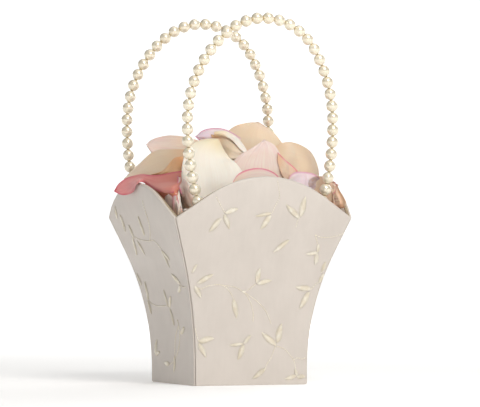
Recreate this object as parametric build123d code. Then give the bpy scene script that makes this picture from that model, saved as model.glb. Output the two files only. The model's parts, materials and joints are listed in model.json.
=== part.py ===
"""Flower girl basket: four flared satin-covered panels, a square base, two pearl handles, a heap of petals.

Frame: +Z up, +Y to the back, origin at the middle of the underside. Millimetres.
Each panel is a stack of curved layers, named by how far they lie inward from the basket's outer surface.
"""

from build123d import *
from math import asin, atan2, cos, radians, sin, tan
import os

# ---- Driving dimensions -------------------------------------------------------------------------
BASE_HALF = 41.0  # half of the outer width at the foot
CORNER_HEIGHT = 112.5  # where the rim meets the corner seams
PEAK_HEIGHTS = {"front": 140.0, "right": 136.0, "back": 140.0, "left": 136.0}  # top of each rim's arch
FLARE_START = 10.8  # the wall is upright below this
FLARE_END = 90.0  # and leans straight out above this
FLARE_ANGLE = 20.8  # lean of the wall, degrees from upright
LIP_END = 133.0  # the lip has turned nearly upright again here
LIP_ANGLE = 2.3
RIM_ANGLE = 33.5  # slope of the rim's straight ends
SEAM_GAP = 0.15  # half-gap at the mitred corners, measured along X or Y

# Layers of a panel, as distances inward from the outer surface
COVER_SKIN = (0.0, 0.4)
PADDING_LAYER = (0.45, 1.65)
BOARD_LAYER = (1.7, 3.2)
TURN_IN_LAYER = (3.25, 3.55)
LINING_LAYER = (3.6, 4.3)
COVER_THICKNESS = COVER_SKIN[1]
TURN_IN_DEPTH = 12.0  # how far the satin comes down inside the rim
CORE_DROP = 0.5  # board and padding stop this far below the rim
LINING_DROP = 2.0
GLUE = 0.05  # glue line between pieces

# Base
BASE_CARD_TOP = 2.45
FLOOR_LINING_THICKNESS = 0.8
BASE_CLEARANCE = 0.1

# Handles
PEARL_RADIUS = 4.0
PEARL_HOLE_RADIUS = 0.95  # clears the wire where it curves
PEARL_PITCH = 8.1
PEARL_COUNT = 38
WIRE_RADIUS = 0.6
PIVOT_HEIGHT = 117.5
PIVOT_Y = 57.3  # distance of each handle's plane from the middle
FOOT_END_X = 55.6  # end of the wire's foot
BEND_X = 45.2  # start of the bend from foot to leg
BEND_RADIUS = 1.5
LEG_ANGLE = 17.5  # lean of the leg where it leaves the rim
WIDEST_HEIGHT = 176.0
APEX_HEIGHT = 245.9
CROWN_RADIUS = 42.0
CROWN_SHIFT = 3.0  # the crown sits a little to one side of the middle

# Satin tabs that hold the handles' feet
TAB_SPAN = (49.4, 54.8)  # along X
TAB_LAYER = (4.35, 5.05)
TAB_FOOT_HEIGHT = 104.0
TAB_TUNNEL_RADIUS = 0.66
TAB_OUTER_RADIUS = 1.5

# Petals: patches of nested domes about one centre, kept inside the room that the handles leave
DOME_CENTRE = 97.0
BED_RADIUS = 76.0
BED_FLOOR = 88.0
BED_SHOULDER = 108.0
BED_WALL_GAP = 4.8
PETAL_REACH = (56.8, 52.3)  # along X inside the linings, and along Y between the handles
LEG_CLEARANCE_X = 39.4  # beyond this the petals leave room for the handles' legs to tilt in
LEG_CLEARANCE = 4.6  # from the middle of a leg
PETAL_THICKNESS = 0.5
PETAL_STEP = 0.8  # from one dome to the next
PETAL_BASE_SHARE = 0.28  # width of a petal's base as a share of its full width
HANDLE_TILT_IN = 23.0  # how far a handle tilts inward, degrees

BIG = 400.0  # larger than the basket
WALL_TOP = max(PEAK_HEIGHTS.values()) + 5.0  # the walls are drawn this high before their rims are cut
PANEL_OVERHANG = 20.0  # and this much wider than the rim on each side

# Each petal's dome, counted up from the bed, direction round the basket, lean from upright,
# roll about its own middle, length and width
PETALS = {
    "petal_corner_left": (0, 225, 58, 10, 30, 28),
    "petal_corner_right": (0, -45, 58, -15, 30, 28),
    "petal_corner_back_left": (0, 135, 58, 0, 30, 27),
    "petal_corner_back_right": (0, 45, 58, 15, 30, 28),
    "petal_coral_left": (0, 180, 34, 0, 50, 46),
    "petal_peach_right": (0, 0, 33, 0, 52, 46),
    "petal_pink_edged_front": (0, -90, 31, 0, 46, 42),
    "petal_blush_back": (0, 90, 32, 0, 50, 44),
    "petal_cream_front": (1, 230, 27, 0, 52, 44),
    "petal_lilac_right": (1, -48, 29, 8, 46, 40),
    "petal_blush_back_left": (1, 138, 28, 0, 50, 44),
    "petal_cream_back_right": (1, 45, 27, 0, 52, 44),
    "petal_blush_right": (2, -10, 18, 0, 46, 40),
    "petal_peach_left": (2, 175, 18, 0, 46, 40),
    "petal_cream_back": (3, 85, 17, 0, 46, 40),
    "petal_blush_front": (3, -100, 17, 0, 44, 38),
    "petal_coral_right": (4, -35, 15, 60, 40, 30),
    "petal_curl_middle": (5, 205, 8, 20, 40, 26),
    "petal_peach_top": (6, 40, 5, 20, 48, 42),
}


# ---- The wall's profile and the layers cut from it ----------------------------------------------
def wall_profile(offset):
    """Key points (distance from the middle, height) of the wall, an offset in from its outer surface."""
    lean, lip = radians(FLARE_ANGLE), radians(LIP_ANGLE)
    flare_radius = (FLARE_END - FLARE_START) / sin(lean)
    lip_radius = (LIP_END - CORNER_HEIGHT) / (sin(lean) - sin(lip))
    flare_centre = (BASE_HALF + flare_radius, FLARE_START)

    def on_flare(angle):
        r = flare_radius + offset
        return (flare_centre[0] - r * cos(angle), flare_centre[1] + r * sin(angle))

    straight = (CORNER_HEIGHT - FLARE_END) / cos(lean)
    end = on_flare(lean)
    lip_start = (end[0] + straight * sin(lean), end[1] + straight * cos(lean))
    inner_radius = lip_radius - offset
    lip_centre = (lip_start[0] - inner_radius * cos(lean), lip_start[1] + inner_radius * sin(lean))

    def on_lip(angle):
        return (lip_centre[0] + inner_radius * cos(angle), lip_centre[1] - inner_radius * sin(angle))

    lip_finish = on_lip(lip)
    over = WALL_TOP - lip_finish[1]
    return {
        "foot": (BASE_HALF - offset, 0.0),
        "flare_start": (BASE_HALF - offset, FLARE_START),
        "flare_mid": on_flare(lean / 2),
        "flare_end": end,
        "lip_start": lip_start,
        "lip_mid": on_lip((lean + lip) / 2),
        "lip_end": lip_finish,
        "top": (lip_finish[0] + over * tan(lip), WALL_TOP),
    }


def front_edges(offset):
    """The profile as edges in the YZ plane, on the front side of the basket."""
    p = {name: (0, -d, z) for name, (d, z) in wall_profile(offset).items()}
    return [
        Line(p["foot"], p["flare_start"]),
        ThreePointArc(p["flare_start"], p["flare_mid"], p["flare_end"]),
        Line(p["flare_end"], p["lip_start"]),
        ThreePointArc(p["lip_start"], p["lip_mid"], p["lip_end"]),
        Line(p["lip_end"], p["top"]),
    ], (p["foot"], p["top"])


def front_slab(outer, inner):
    """The front wall between two distances inward, wider and taller than the finished panel."""
    outer_edges, (outer_foot, outer_top) = front_edges(outer)
    inner_edges, (inner_foot, inner_top) = front_edges(inner)
    ends = [Line(outer_top, inner_top), Line(outer_foot, inner_foot)]
    face = Face(Wire(outer_edges + inner_edges + ends))
    return extrude(face, amount=BIG / 2, dir=(1, 0, 0), both=True)


def mitre_wedge():
    """The quarter of the plan that belongs to the front panel, up to the corner seams."""
    outline = Polyline((0, -SEAM_GAP), (BIG, -BIG - SEAM_GAP), (-BIG, -BIG - SEAM_GAP), close=True)
    return extrude(make_face(outline), amount=BIG)


def rim_prism(peak, drop, bottom=0.0):
    """Everything under a rim with its arch's top at peak, lowered by drop, and above bottom."""
    slope = radians(RIM_ANGLE)
    corner = wall_profile(0.0)["lip_start"][0]
    rise = peak - CORNER_HEIGHT
    arc_radius = (corner * tan(slope) - rise) / (sin(slope) * tan(slope) + cos(slope) - 1)
    x = arc_radius * sin(slope)
    z = peak - arc_radius * (1 - cos(slope)) - drop
    far = corner + PANEL_OVERHANG
    z_far = z - (far - x) * tan(slope)
    low_left, low_right = (-far, 0, bottom), (far, 0, bottom)
    sides = Polyline((-x, 0, z), (-far, 0, z_far), low_left, low_right, (far, 0, z_far), (x, 0, z))
    arch = ThreePointArc((x, 0, z), (0, 0, peak - drop), (-x, 0, z))
    outline = Wire(list(sides.edges()) + list(arch.edges()))
    return extrude(Face(outline), amount=BIG, dir=(0, -1, 0))


def panel_layer(layer, peak, drop, bottom=0.0):
    return front_slab(*layer) & mitre_wedge() & rim_prism(peak, drop, bottom)


def satin_cover(peak):
    """Satin over the outside, round the rim and the foot, and turned in behind the board."""
    skin = panel_layer(COVER_SKIN, peak, 0.0)
    full = panel_layer((COVER_SKIN[0], TURN_IN_LAYER[1]), peak, 0.0)
    inside = rim_prism(peak, COVER_THICKNESS, COVER_THICKNESS)
    turn_in = panel_layer(TURN_IN_LAYER, peak, 0.0) - rim_prism(peak, TURN_IN_DEPTH)
    return skin + (full - inside) + turn_in


def panel(peak):
    """A panel's pieces in the front panel's place, from the outside in."""
    return {
        "satin_cover": satin_cover(peak),
        "padding": panel_layer(PADDING_LAYER, peak, CORE_DROP, CORE_DROP),
        "board": panel_layer(BOARD_LAYER, peak, CORE_DROP, CORE_DROP),
        "lining": panel_layer(LINING_LAYER, peak, LINING_DROP, BASE_CARD_TOP + GLUE),
    }


# ---- Base ---------------------------------------------------------------------------------------
def square_plate(half, bottom, thickness):
    plate = Box(2 * half, 2 * half, thickness, align=(Align.CENTER, Align.CENTER, Align.MIN))
    return Pos(0, 0, bottom) * plate


def base_pieces():
    base_half = BASE_HALF - TURN_IN_LAYER[1] - BASE_CLEARANCE
    floor_half = BASE_HALF - LINING_LAYER[1] - BASE_CLEARANCE
    card_bottom = COVER_THICKNESS + GLUE
    return {
        "base_satin": square_plate(base_half, 0.0, COVER_THICKNESS),
        "base_card": square_plate(base_half, card_bottom, BASE_CARD_TOP - card_bottom),
        "floor_lining": square_plate(floor_half, BASE_CARD_TOP + GLUE, FLOOR_LINING_THICKNESS),
    }


# ---- Handles ------------------------------------------------------------------------------------
def leg_and_shoulder(side):
    """Key figures of one half of the arch; side is +1 at the right and -1 at the left.

    From the foot a small bend turns into a long leg arc, upright at the widest point, and a shoulder arc
    that meets the crown. Every arc is tangent to the next.
    """
    lean = radians(LEG_ANGLE)
    leg_foot = (BEND_X - BEND_RADIUS * cos(lean), PIVOT_HEIGHT + BEND_RADIUS * (1 + sin(lean)))
    leg_radius = (WIDEST_HEIGHT - leg_foot[1]) / sin(lean)
    widest = leg_foot[0] + leg_radius * (1 - cos(lean))
    reach = widest - side * CROWN_SHIFT
    rise = APEX_HEIGHT - CROWN_RADIUS - WIDEST_HEIGHT
    shoulder_radius = (reach**2 + rise**2 - CROWN_RADIUS**2) / (2 * (reach - CROWN_RADIUS))
    turn = atan2(rise, shoulder_radius - reach)
    return leg_foot, leg_radius, widest, shoulder_radius, turn


def half_arch(side):
    """Edges of one half, from the foot's end to the crown, and the point where it meets the crown."""
    leg_foot, leg_radius, widest, shoulder_radius, turn = leg_and_shoulder(side)
    lean = radians(LEG_ANGLE)

    def point(x, z):
        return (side * x, 0, z)

    def bend_point(angle):
        return point(BEND_X - BEND_RADIUS * sin(angle), PIVOT_HEIGHT + BEND_RADIUS * (1 - cos(angle)))

    def leg_point(angle):
        x = widest - leg_radius * (1 - cos(angle))
        return point(x, WIDEST_HEIGHT - leg_radius * sin(angle))

    def shoulder_point(angle):
        x = widest - shoulder_radius * (1 - cos(angle))
        return point(x, WIDEST_HEIGHT + shoulder_radius * sin(angle))

    bend_turn = radians(90) + lean
    foot = Line(point(FOOT_END_X, PIVOT_HEIGHT), point(BEND_X, PIVOT_HEIGHT))
    bend = ThreePointArc(bend_point(0), bend_point(bend_turn / 2), bend_point(bend_turn))
    leg = ThreePointArc(bend_point(bend_turn), leg_point(lean / 2), leg_point(0))
    shoulder = ThreePointArc(leg_point(0), shoulder_point(turn / 2), shoulder_point(turn))
    return [foot, bend], [leg, shoulder], shoulder_point(turn)


def handle_paths():
    """The whole wire's path, and the stretch of it that carries the pearls, in the XZ plane."""
    right_foot, right_arch, right_end = half_arch(1)
    left_foot, left_arch, left_end = half_arch(-1)
    crown = ThreePointArc(right_end, (CROWN_SHIFT, 0, APEX_HEIGHT), left_end)
    arch = right_arch + [crown] + left_arch
    return Wire(right_foot + arch + left_foot), Wire(arch)


def wire_solid(path):
    start = (FOOT_END_X, 0, PIVOT_HEIGHT)
    return sweep(Plane(origin=start, z_dir=(-1, 0, 0)) * Circle(WIRE_RADIUS), path=path)


def pearls(path, place):
    """One drilled pearl at each point along the arch, spread evenly about its middle, on a handle at place."""
    pearl = Sphere(PEARL_RADIUS) - Cylinder(PEARL_HOLE_RADIUS, 3 * PEARL_RADIUS)
    first = (path.length - (PEARL_COUNT - 1) * PEARL_PITCH) / 2
    placed = []
    for i in range(PEARL_COUNT):
        share = (first + i * PEARL_PITCH) / path.length
        at = Plane(origin=path @ share, z_dir=path % share)
        placed.append(place * (at * pearl))
    return Compound(children=placed)


def handle_tab(side):
    """A folded satin tab glued to the front lining, with a tunnel for the wire's foot."""
    width = TAB_SPAN[1] - TAB_SPAN[0]
    length = PIVOT_HEIGHT - TAB_FOOT_HEIGHT
    middle = side * sum(TAB_SPAN) / 2
    centre = Pos(middle, -PIVOT_Y, PIVOT_HEIGHT)
    column = Box(width, 2 * length, length, align=(Align.CENTER, Align.CENTER, Align.MIN))
    tongue = front_slab(*TAB_LAYER) & (Pos(middle, -PIVOT_Y, TAB_FOOT_HEIGHT) * column)
    neck_depth = wall_distance(TAB_LAYER[0], PIVOT_HEIGHT) - PIVOT_Y
    neck_y = -PIVOT_Y - neck_depth / 2
    neck = Pos(middle, neck_y, PIVOT_HEIGHT - TAB_OUTER_RADIUS / 2) * Box(width, neck_depth, TAB_OUTER_RADIUS)
    neck = neck & front_slab(TAB_LAYER[0], TAB_LAYER[0] + 2 * neck_depth)
    roll = centre * Rot(0, 90, 0) * Cylinder(TAB_OUTER_RADIUS, width)
    tunnel = centre * Rot(0, 90, 0) * Cylinder(TAB_TUNNEL_RADIUS, BIG)
    return tongue + neck + roll - tunnel


def wall_distance(offset, height):
    """Distance of a layer's surface from the middle, at a height on the lip's curve."""
    p = wall_profile(offset)
    lean, lip = radians(FLARE_ANGLE), radians(LIP_ANGLE)
    lip_radius = (p["lip_end"][1] - p["lip_start"][1]) / (sin(lean) - sin(lip))
    centre_z = p["lip_start"][1] + lip_radius * sin(lean)
    centre_d = p["lip_start"][0] - lip_radius * cos(lean)
    return centre_d + lip_radius * cos(asin((centre_z - height) / lip_radius))


# ---- Petals -------------------------------------------------------------------------------------
def petal_room():
    """The space between the walls and the handles, less the room for the handles' legs to tilt inward."""
    reach_x, reach_y = PETAL_REACH
    room = Box(2 * reach_x, 2 * reach_y, BIG)
    leg_y = PIVOT_Y - LEG_CLEARANCE / cos(radians(HANDLE_TILT_IN))
    top = PIVOT_HEIGHT + leg_y / tan(radians(HANDLE_TILT_IN))
    wedge = make_face(Polyline((0, leg_y, PIVOT_HEIGHT), (0, 0, top), (0, leg_y, top), close=True))
    width = reach_x - LEG_CLEARANCE_X
    for x in (LEG_CLEARANCE_X, -LEG_CLEARANCE_X - width):
        cut = extrude(Pos(x, 0, 0) * wedge, amount=width, dir=(1, 0, 0))
        room = room - cut - mirror(cut, Plane.XZ)
    return room


def petal_bed():
    """The packed petals under the top layer, in four blocks without hollows: foot, middle and two sides."""
    low, high = (wall_at(BED_WALL_GAP, z) for z in (BED_FLOOR, BED_SHOULDER))
    foot = Plane.XY.offset(BED_FLOOR) * Rectangle(2 * low, 2 * low)
    shoulder = Plane.XY.offset(BED_SHOULDER) * Rectangle(2 * high, 2 * high)
    block = loft([foot, shoulder]) & petal_room()
    above = Pos(0, 0, BED_SHOULDER + GLUE) * Box(BIG, BIG, BIG, align=(Align.CENTER, Align.CENTER, Align.MIN))
    dome = Pos(0, 0, DOME_CENTRE) * Sphere(BED_RADIUS) & above & petal_room()
    middle = dome & Box(2 * (LEG_CLEARANCE_X - GLUE), BIG, BIG)
    sides = dome - Box(2 * LEG_CLEARANCE_X, BIG, BIG)
    return Compound(children=[block.solid(), middle.solid()] + list(sides.solids()))


def wall_at(offset, height):
    """Distance of a layer's surface from the middle, on the flare's curve or the straight above it."""
    p = wall_profile(offset)
    if height >= p["flare_end"][1]:
        return p["flare_end"][0] + (height - p["flare_end"][1]) * tan(radians(FLARE_ANGLE))
    radius = (FLARE_END - FLARE_START) / sin(radians(FLARE_ANGLE)) + offset
    return p["foot"][0] + radius * (1 - cos(asin((height - FLARE_START) / radius)))


def petal(level, direction, lean, roll, length, width):
    """A petal-shaped patch of one of the nested domes."""
    radius = BED_RADIUS + (level + 1) * PETAL_STEP
    shell = Sphere(radius + PETAL_THICKNESS) - Sphere(radius)
    tip_radius = width / 2
    base_radius = tip_radius * PETAL_BASE_SHARE
    tip = Pos(0, length / 2 - tip_radius) * Circle(tip_radius)
    base = Pos(0, -length / 2 + base_radius) * Circle(base_radius)
    outline = make_hull(tip.edges() + base.edges())
    blade = shell & extrude(outline, amount=2 * radius)
    towards = Pos(0, 0, DOME_CENTRE) * Rot(0, 0, direction) * Rot(0, lean, 0)
    return towards * Rot(0, 0, roll - 90) * blade & petal_room()


# ---- Assembly -----------------------------------------------------------------------------------
def assemble():
    parts = {}
    for i, (side, peak) in enumerate(PEAK_HEIGHTS.items()):
        for name, solid in panel(peak).items():
            parts[f"{side}_{name}"] = Rot(0, 0, 90 * i) * solid
    parts.update(base_pieces())
    whole_path, pearl_path = handle_paths()
    front = Pos(0, -PIVOT_Y, 0)
    back = Pos(0, PIVOT_Y, 0)
    for side, place in (("front", front), ("back", back)):
        parts[f"{side}_handle_wire"] = place * wire_solid(whole_path)
        parts[f"{side}_handle_pearls"] = pearls(pearl_path, place)
    for label, x_side in (("left", -1), ("right", 1)):
        tab = handle_tab(x_side)
        parts[f"front_handle_tab_{label}"] = tab
        parts[f"back_handle_tab_{label}"] = mirror(tab, Plane.XZ)
    parts["petal_bed"] = petal_bed()
    for name, shape in PETALS.items():
        parts[name] = petal(*shape)
    return parts


os.makedirs("parts", exist_ok=True)
for name, part in assemble().items():
    export_step(part, f"parts/{name}.step")
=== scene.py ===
"""Looks of a flower girl basket: padded satin with embroidery, pearl handles and a heap of rose petals.

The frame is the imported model's: metres, +Z up, the front towards -Y. Shapes are worked out in millimetres.
"""

import json
from math import asin, cos, pi, radians, sin, tan

import bpy
import numpy as np
from mathutils import Matrix, Vector


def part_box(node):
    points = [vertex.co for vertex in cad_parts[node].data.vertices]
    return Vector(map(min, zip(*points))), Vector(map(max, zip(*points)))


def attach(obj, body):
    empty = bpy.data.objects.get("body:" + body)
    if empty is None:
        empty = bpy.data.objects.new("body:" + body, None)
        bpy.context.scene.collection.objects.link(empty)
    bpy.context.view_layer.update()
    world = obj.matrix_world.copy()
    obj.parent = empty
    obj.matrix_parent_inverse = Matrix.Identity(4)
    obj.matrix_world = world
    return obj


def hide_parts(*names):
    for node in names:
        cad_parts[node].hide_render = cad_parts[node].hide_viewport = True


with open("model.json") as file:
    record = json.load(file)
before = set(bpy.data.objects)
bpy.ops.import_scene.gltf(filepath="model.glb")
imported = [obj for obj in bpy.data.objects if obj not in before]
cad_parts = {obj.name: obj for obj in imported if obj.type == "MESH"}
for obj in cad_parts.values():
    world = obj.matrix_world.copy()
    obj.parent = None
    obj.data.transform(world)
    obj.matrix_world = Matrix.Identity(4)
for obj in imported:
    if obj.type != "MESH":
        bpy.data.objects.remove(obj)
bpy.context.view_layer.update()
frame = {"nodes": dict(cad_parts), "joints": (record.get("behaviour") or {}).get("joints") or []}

MM = 0.001

# ---- Dimensions of the basket, as in the frame, in millimetres -----------------------------------
BASE_HALF = 41.0
CORNER_HEIGHT = 112.5
PEAK_HEIGHTS = {"front": 140.0, "right": 136.0, "back": 140.0, "left": 136.0}
FLARE_START = 10.8
FLARE_END = 90.0
FLARE_ANGLE = radians(20.8)
LIP_END = 133.0
LIP_ANGLE = radians(2.3)
RIM_ANGLE = radians(33.5)
SEAM_GAP = 0.1
PANEL_THICKNESS = 3.5  # over the satin on both faces
SIDES = {"front": 0, "right": 90, "back": 180, "left": 270}  # degrees round the basket

FLARE_RADIUS = (FLARE_END - FLARE_START) / sin(FLARE_ANGLE)
FLARE_END_DISTANCE = BASE_HALF + FLARE_RADIUS * (1 - cos(FLARE_ANGLE))
CORNER_DISTANCE = FLARE_END_DISTANCE + (CORNER_HEIGHT - FLARE_END) * tan(FLARE_ANGLE)
LIP_RADIUS = (LIP_END - CORNER_HEIGHT) / (sin(FLARE_ANGLE) - sin(LIP_ANGLE))
LIP_CENTRE = (CORNER_DISTANCE - LIP_RADIUS * cos(FLARE_ANGLE), CORNER_HEIGHT + LIP_RADIUS * sin(FLARE_ANGLE))

# ---- The camera's place ---------------------------------------------------------------------------
VIEW_AZIMUTH = radians(-21.9)
VIEW_DISTANCE = 3060.0
VIEW_HEIGHT = 122.0
VIEW_SIDESTEP = 7.6
LENS = 337.7
RIGHT = np.array([cos(VIEW_AZIMUTH), sin(VIEW_AZIMUTH), 0.0])
TOWARD = np.array([sin(VIEW_AZIMUTH), -cos(VIEW_AZIMUTH), 0.0])
UP = np.array([0.0, 0.0, 1.0])
VIEW_AXES = np.array([RIGHT, TOWARD, UP])


# ---- Meshes ---------------------------------------------------------------------------------------
def mesh_object(name, points, faces, attributes=None):
    """A mesh object from points in millimetres. attributes maps a name to one float or vector a point."""
    mesh = bpy.data.meshes.new(name)
    mesh.from_pydata((np.asarray(points, float) * MM).tolist(), [], [list(map(int, f)) for f in faces])
    for key, values in (attributes or {}).items():
        values = np.asarray(values, float)
        kind = "FLOAT" if values.ndim == 1 else "FLOAT_VECTOR"
        field = "value" if values.ndim == 1 else "vector"
        mesh.attributes.new(key, kind, "POINT").data.foreach_set(field, values.ravel())
    mesh.polygons.foreach_set("use_smooth", [True] * len(mesh.polygons))
    mesh.update()
    obj = bpy.data.objects.new(name, mesh)
    bpy.context.scene.collection.objects.link(obj)
    return obj


def grid_faces(rows, columns, start=0, close_columns=False):
    """Quads of a grid of points stored row by row."""
    r, c = np.arange(rows - 1), np.arange(columns if close_columns else columns - 1)
    r, c = (a.ravel() for a in np.meshgrid(r, c, indexing="ij"))
    c2 = (c + 1) % columns
    here, below = r * columns, (r + 1) * columns
    return np.stack([here + c, here + c2, below + c2, below + c], 1) + start


def slab_faces(rows, columns):
    """Faces of a closed slab: a front grid, a back grid stored after it, and the edge between them."""
    count = rows * columns
    border = [(0, c) for c in range(columns)] + [(r, columns - 1) for r in range(1, rows)]
    border += [(rows - 1, c) for c in range(columns - 2, -1, -1)] + [(r, 0) for r in range(rows - 2, 0, -1)]
    ring = [r * columns + c for r, c in border]
    edge = [(b, a, a + count, b + count) for a, b in zip(ring, ring[1:] + ring[:1])]
    return grid_faces(rows, columns).tolist() + grid_faces(rows, columns, count)[:, ::-1].tolist() + edge


def rounded(inset, radius):
    """How far a rounded edge lies under the flat face, at a distance in from its side."""
    return radius - np.sqrt(radius**2 - (radius - np.clip(inset, 0, radius)) ** 2)


def thicken(obj, thickness):
    """Gives a sheet a thickness behind its face."""
    solid = obj.modifiers.new("thickness", "SOLIDIFY")
    solid.thickness = thickness * MM
    solid.offset = -1.0
    evaluated = obj.evaluated_get(bpy.context.evaluated_depsgraph_get())
    mesh = bpy.data.meshes.new_from_object(evaluated)
    obj.modifiers.clear()
    obj.data = mesh


def turned(points, degrees_round):
    """Points turned about the basket's axis."""
    a = radians(degrees_round)
    turn = np.array([[cos(a), sin(a), 0], [-sin(a), cos(a), 0], [0, 0, 1]])
    return np.asarray(points) @ turn


def waves(a, b, seed, size, count=7):
    """Smooth random relief over a plane, from about -1 to 1, with bumps of about the size given."""
    random = np.random.default_rng(seed)
    total = np.zeros(np.broadcast(a, b).shape)
    for _ in range(count):
        angle, phase = random.uniform(0, 2 * pi, 2)
        k = 2 * pi / (size * random.uniform(0.7, 1.5))
        total = total + np.sin(k * (np.cos(angle) * a + np.sin(angle) * b) + phase)
    return total / np.sqrt(2 * count)


def smooth_curve(points, count):
    """Points along a smooth curve through the ones given."""
    p = np.array([points[0], *points, points[-1]], float)
    t = np.linspace(0, len(points) - 1, count)
    k = np.minimum(t.astype(int), len(points) - 2)
    t = (t - k)[:, None]
    a, b, c, d = p[k], p[k + 1], p[k + 2], p[k + 3]
    return 0.5 * (2 * b + (c - a) * t + (2 * a - 5 * b + 4 * c - d) * t**2 + (3 * b - a - 3 * c + d) * t**3)


def smoothstep(value, low, high):
    t = np.clip((value - low) / (high - low), 0, 1)
    return t * t * (3 - 2 * t)


def dress(obj, material, body, slot, *replaced):
    """Gives a piece its material and its body, and hides the nodes that it stands for. slot is not used."""
    obj.data.materials.clear()
    obj.data.materials.append(material)
    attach(obj, body)
    if replaced:
        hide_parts(*replaced)


def paint(node, material):
    """Gives a material to a CAD node that stays as it is."""
    mesh = frame["nodes"][node].data
    mesh.materials.clear()
    mesh.materials.append(material)


# ---- Materials ------------------------------------------------------------------------------------
def linear(r, g, b):
    """A display colour as the linear colour that the shader works in."""
    return tuple(c / 12.92 if c <= 0.04045 else ((c + 0.055) / 1.055) ** 2.4 for c in (r, g, b)) + (1.0,)


class Nodes:
    """Builds a material's node tree, and ends it in one Principled shader."""

    def __init__(self, name):
        self.material = bpy.data.materials.new(name)
        self.material.use_nodes = True
        self.tree = self.material.node_tree
        self.shader = self.tree.nodes["Principled BSDF"]

    def add(self, kind, inputs=None, **settings):
        node = self.tree.nodes.new(kind)
        for key, value in settings.items():
            setattr(node, key, value)
        for key, value in (inputs or {}).items():
            self.join(value, node.inputs[key])
        return node

    def join(self, value, socket):
        if isinstance(value, bpy.types.NodeSocket):
            self.tree.links.new(value, socket)
        else:
            socket.default_value = value

    def set(self, **inputs):
        for key, value in inputs.items():
            self.join(value, self.shader.inputs[key.replace("_", " ")])

    def attribute(self, name):
        return self.add("ShaderNodeAttribute", attribute_name=name)

    def scaled(self, vector, scale):
        return self.add("ShaderNodeMapping", {"Vector": vector, "Scale": scale}).outputs[0]

    def noise(self, vector, scale, detail=3.0, roughness=0.5):
        inputs = {"Vector": vector, "Scale": scale, "Detail": detail, "Roughness": roughness}
        return self.add("ShaderNodeTexNoise", inputs).outputs["Fac"]

    def math(self, operation, a, b=0.0, clamp=False):
        node = self.add("ShaderNodeMath", operation=operation, use_clamp=clamp)
        self.join(a, node.inputs[0])
        self.join(b, node.inputs[1])
        return node.outputs[0]

    def ramp(self, value, low, high):
        """value mapped so that low gives 0 and high gives 1."""
        inputs = {"Value": value, "From Min": low, "From Max": high}
        return self.add("ShaderNodeMapRange", inputs, interpolation_type="SMOOTHSTEP").outputs[0]

    def mix(self, factor, a, b):
        node = self.add("ShaderNodeMix", data_type="RGBA")
        self.join(factor, node.inputs[0])
        self.join(a, node.inputs[6])
        self.join(b, node.inputs[7])
        return node.outputs[2]

    def bump(self, height, strength, distance):
        inputs = {"Height": height, "Strength": strength, "Distance": distance}
        return self.add("ShaderNodeBump", inputs).outputs[0]

    def spread(self, value, low, high):
        """value from 0 to 1 mapped to run from low to high."""
        return self.add("ShaderNodeMapRange", {"Value": value, "To Min": low, "To Max": high}).outputs[0]

    def object_coordinates(self):
        return self.add("ShaderNodeTexCoord").outputs["Object"]


WEAVE_PITCH = 0.28


def satin_material(name, light, shade):
    """Duchess satin: a smooth face with long floats one way, fine ribs, and a soft mottle.

    The attribute cloth gives each point's place on the flat cloth, in millimetres.
    """
    n = Nodes(name)
    cloth = n.attribute("cloth").outputs["Vector"]
    weave = {"Vector": cloth, "Scale": 1 / (WEAVE_PITCH * 3.2), "Distortion": 0.6, "Detail": 1.0}
    warp = n.add("ShaderNodeTexWave", weave, wave_type="BANDS", bands_direction="X").outputs["Fac"]
    floats = n.noise(n.scaled(cloth, (2.6, 0.35, 1.0)), 1.0, 2.0)
    mottle = n.noise(n.scaled(cloth, (0.05, 0.035, 1.0)), 1.0, 4.0, 0.6)
    slub = n.noise(n.scaled(cloth, (0.5, 0.06, 1.0)), 1.0, 3.0, 0.6)
    cloudy = n.math("ADD", n.math("MULTIPLY", mottle, 0.8), n.math("MULTIPLY", slub, 0.2))
    rib = n.math("ADD", n.math("MULTIPLY", warp, 0.5), floats)
    n.set(Base_Color=n.mix(n.ramp(cloudy, 0.3, 0.7), shade, light), Roughness=n.spread(floats, 0.36, 0.5),
          Sheen_Weight=0.35, Sheen_Roughness=0.35, Sheen_Tint=linear(1.0, 0.98, 0.96),
          Specular_IOR_Level=0.55, Anisotropic=0.5, Normal=n.bump(rib, 0.16, 0.00006))
    return n.material


def thread_material():
    """Rayon embroidery thread: bright, silky, with the two plies' twist along each stitch."""
    n = Nodes("thread")
    along = n.attribute("along").outputs["Fac"]
    length = n.add("ShaderNodeCombineXYZ", {"X": along}).outputs[0]
    ply = n.add("ShaderNodeTexWave", {"Vector": length, "Scale": 0.75, "Distortion": 0.4})
    cloud = n.ramp(n.noise(n.object_coordinates(), 260.0, 3.0), 0.35, 0.7)
    tone = n.mix(cloud, linear(0.93, 0.89, 0.81), linear(0.98, 0.955, 0.90))
    n.set(Base_Color=tone, Roughness=0.33, Sheen_Weight=0.4, Sheen_Roughness=0.3, Specular_IOR_Level=0.7,
          Normal=n.bump(ply.outputs["Fac"], 0.35, 0.00008))
    return n.material


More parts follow.
